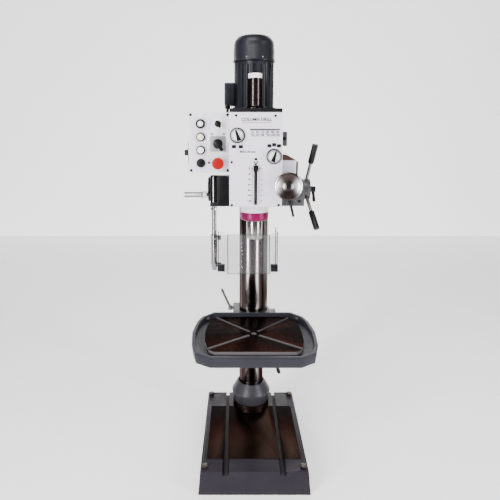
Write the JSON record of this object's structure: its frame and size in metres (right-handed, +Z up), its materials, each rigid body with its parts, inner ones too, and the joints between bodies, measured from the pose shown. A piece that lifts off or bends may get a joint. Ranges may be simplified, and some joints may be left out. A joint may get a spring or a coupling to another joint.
{
  "type": "column drill press",
  "caption": "Geared-head column drill press: cast base, steel column, rise-and-fall table with coolant trough, quill feed, motor, control box and clear chuck guard.",
  "frame": {"origin": "on the floor directly under the column axis", "axes": "+Z up along the column, -Y towards the operator, +X to the operator's right"},
  "size_m": [0.532, 0.689, 1.8123],
  "materials": {
    "painted_dark": "satin",
    "painted_black": "satin",
    "painted_white": "satin",
    "steel": "satin",
    "chromed": "polished",
    "aluminium": "polished",
    "gearbox_paint": "satin",
    "black_plastic": "matte",
    "black_steel": "satin",
    "white_plastic": "gloss",
    "red_plastic": "gloss",
    "cable_black": "matte",
    "magenta_ring": "gloss",
    "clear_sheet": "clear"
  },
  "bodies": {
    "frame": {"base_plate": "painted_dark", "column": "steel", "column_collar": "painted_dark", "control_box": "painted_white", "control_panel": "painted_white", "depth_switch_box": "painted_white", "fan_cover": "painted_black", "feed_gearbox": "gearbox_paint", "front_panel": "painted_white", "guard_bracket": "painted_black", "guard_rod": "chromed", "head_casting": "painted_white", "indicator_lamp": "white_plastic", "level_bolt_1": "steel", "level_bolt_2": "steel", "level_bolt_3": "steel", "level_bolt_4": "steel", "motor_cable": "cable_black", "motor_housing": "painted_black", "motor_plate": "painted_black", "spindle_cover": "steel", "spring_housing": "black_plastic", "terminal_box": "painted_black"},
    "table_body": {"table": "painted_dark"},
    "arm_body": {"table_arm": "painted_dark"},
    "rack_body": {"column_rack": "steel"},
    "crank": {"table_crank": "steel", "crank_grip": "black_plastic"},
    "arm_clamp": {"arm_clamp_lever": "steel"},
    "table_lock": {"table_lock_lever": "black_steel"},
    "rotor": {"motor_rotor": "steel", "cooling_fan": "black_plastic"},
    "gear": {"spindle_gear": "steel"},
    "quill_body": {"quill": "steel", "quill_ring": "magenta_ring", "depth_pointer": "black_steel"},
    "spindle_body": {"spindle": "steel"},
    "feed": {"feed_shaft": "steel", "feed_hub": "gearbox_paint", "feed_arm_1": "steel", "feed_arm_2": "steel", "feed_arm_3": "steel", "feed_grip_1": "black_plastic", "feed_grip_2": "black_plastic", "feed_grip_3": "black_plastic"},
    "fine_wheel": {"fine_feed_wheel": "aluminium"},
    "hub_clamp": {"hub_clamp_lever": "black_steel"},
    "clutch": {"feed_clutch_lever": "black_steel"},
    "quill_lock": {"quill_lock_lever": "steel"},
    "dial_left": {"gear_dial_left": "aluminium"},
    "dial_right": {"gear_dial_right": "aluminium"},
    "start": {"start_button": "white_plastic"},
    "stop": {"stop_button": "white_plastic"},
    "coolant": {"coolant_button": "black_plastic"},
    "estop": {"estop_button": "red_plastic"},
    "mode": {"mode_knob": "black_plastic"},
    "speed": {"speed_knob": "black_plastic"},
    "isolator": {"isolator_handle": "black_plastic"},
    "guard": {"guard_clamp": "chromed", "guard_shield": "clear_sheet"}
  },
  "joints": [
    {"name": "arm_swing", "type": "hinge", "parent": "frame", "child": "rack_body", "pos_m": [0, 0, 0.55], "axis": [0, 0, 1], "range_deg": [-60, 60]},
    {"name": "table_lift", "type": "slide", "parent": "rack_body", "child": "arm_body", "axis": [0, 0, 1], "range_m": [-0.13, 0.22]},
    {"name": "crank_turn", "type": "hinge", "parent": "arm_body", "child": "crank", "pos_m": [0.13, 0.044, 0.522], "axis": [1, 0, 0], "range_deg": [-447, 757]},
    {"name": "arm_clamp_turn", "type": "hinge", "parent": "arm_body", "child": "arm_clamp", "pos_m": [-0.103, 0.062, 0.572], "axis": [1, 0, 0], "range_deg": [-50, 50]},
    {"name": "table_lock_turn", "type": "hinge", "parent": "arm_body", "child": "table_lock", "pos_m": [0.07, -0.34, 0.518], "axis": [1, 0, 0], "range_deg": [-40, 40]},
    {"name": "table_turn", "type": "hinge", "parent": "arm_body", "child": "table_body", "pos_m": [0, -0.34, 0.56], "axis": [0, 0, 1], "range_deg": [-15, 15]},
    {"name": "motor_spin", "type": "hinge", "parent": "frame", "child": "rotor", "pos_m": [0, -0.215, 1.55], "axis": [0, 0, 1], "continuous": true},
    {"name": "gear_spin", "type": "hinge", "parent": "frame", "child": "gear", "pos_m": [0, -0.34, 1.41], "axis": [0, 0, 1], "continuous": true},
    {"name": "quill_feed", "type": "slide", "parent": "frame", "child": "quill_body", "axis": [0, 0, -1], "range_m": [0, 0.13], "stiffness_N_per_m": 700, "springref_m": -0.3},
    {"name": "feed_turn", "type": "hinge", "parent": "frame", "child": "feed", "pos_m": [0.1, -0.28, 1.2], "axis": [1, 0, 0], "range_deg": [0, 373]},
    {"name": "spindle_spin", "type": "hinge", "parent": "quill_body", "child": "spindle_body", "pos_m": [0, -0.34, 1.2], "axis": [0, 0, 1], "continuous": true},
    {"name": "fine_feed_turn", "type": "hinge", "parent": "frame", "child": "fine_wheel", "pos_m": [0.118, -0.48, 1.232], "axis": [0, 1, 0], "continuous": true},
    {"name": "hub_clamp_turn", "type": "hinge", "parent": "feed", "child": "hub_clamp", "pos_m": [0.23, -0.28, 1.2], "axis": [1, 0, 0], "range_deg": [-45, 45]},
    {"name": "feed_clutch_turn", "type": "hinge", "parent": "frame", "child": "clutch", "pos_m": [0.128, -0.44, 1.174], "axis": [0, 1, 0], "range_deg": [-30, 30]},
    {"name": "quill_lock_turn", "type": "hinge", "parent": "frame", "child": "quill_lock", "pos_m": [-0.2, -0.34, 1.184], "axis": [1, 0, 0], "range_deg": [0, 90]},
    {"name": "gear_dial_left_turn", "type": "hinge", "parent": "frame", "child": "dial_left", "pos_m": [-0.068, -0.46, 1.416], "axis": [0, 1, 0], "range_deg": [-60, 60]},
    {"name": "gear_dial_right_turn", "type": "hinge", "parent": "frame", "child": "dial_right", "pos_m": [0.067, -0.46, 1.339], "axis": [0, 1, 0], "range_deg": [-60, 60]},
    {"name": "start_push", "type": "slide", "parent": "frame", "child": "start", "axis": [0, 1, 0], "range_m": [0, 0.004], "stiffness_N_per_m": 300, "springref_m": -0.002},
    {"name": "stop_push", "type": "slide", "parent": "frame", "child": "stop", "axis": [0, 1, 0], "range_m": [0, 0.004], "stiffness_N_per_m": 300, "springref_m": -0.002},
    {"name": "coolant_push", "type": "slide", "parent": "frame", "child": "coolant", "axis": [0, 1, 0], "range_m": [0, 0.004], "stiffness_N_per_m": 300, "springref_m": -0.002},
    {"name": "estop_push", "type": "slide", "parent": "frame", "child": "estop", "axis": [0, 1, 0], "range_m": [0, 0.006], "stiffness_N_per_m": 600, "springref_m": -0.002},
    {"name": "mode_knob_turn", "type": "hinge", "parent": "frame", "child": "mode", "pos_m": [-0.14, -0.45, 1.458], "axis": [0, 1, 0], "range_deg": [-45, 45]},
    {"name": "speed_knob_turn", "type": "hinge", "parent": "frame", "child": "speed", "pos_m": [-0.14, -0.45, 1.385], "axis": [0, 1, 0], "range_deg": [-120, 120]},
    {"name": "isolator_turn", "type": "hinge", "parent": "frame", "child": "isolator", "pos_m": [-0.25, -0.4, 1.352], "axis": [1, 0, 0], "range_deg": [0, 90]},
    {"name": "guard_swing", "type": "hinge", "parent": "frame", "child": "guard", "pos_m": [-0.158, -0.395, 0.96], "axis": [0, 0, 1], "range_deg": [-100, 0]}
  ],
  "couplings": [
    {"joint": "crank_turn", "follows": "table_lift", "rad_per_m": 60},
    {"joint": "gear_spin", "follows": "motor_spin", "ratio": -0.66667},
    {"joint": "spindle_spin", "follows": "motor_spin", "ratio": -0.66667},
    {"joint": "feed_turn", "follows": "quill_feed", "rad_per_m": 50}
  ]
}
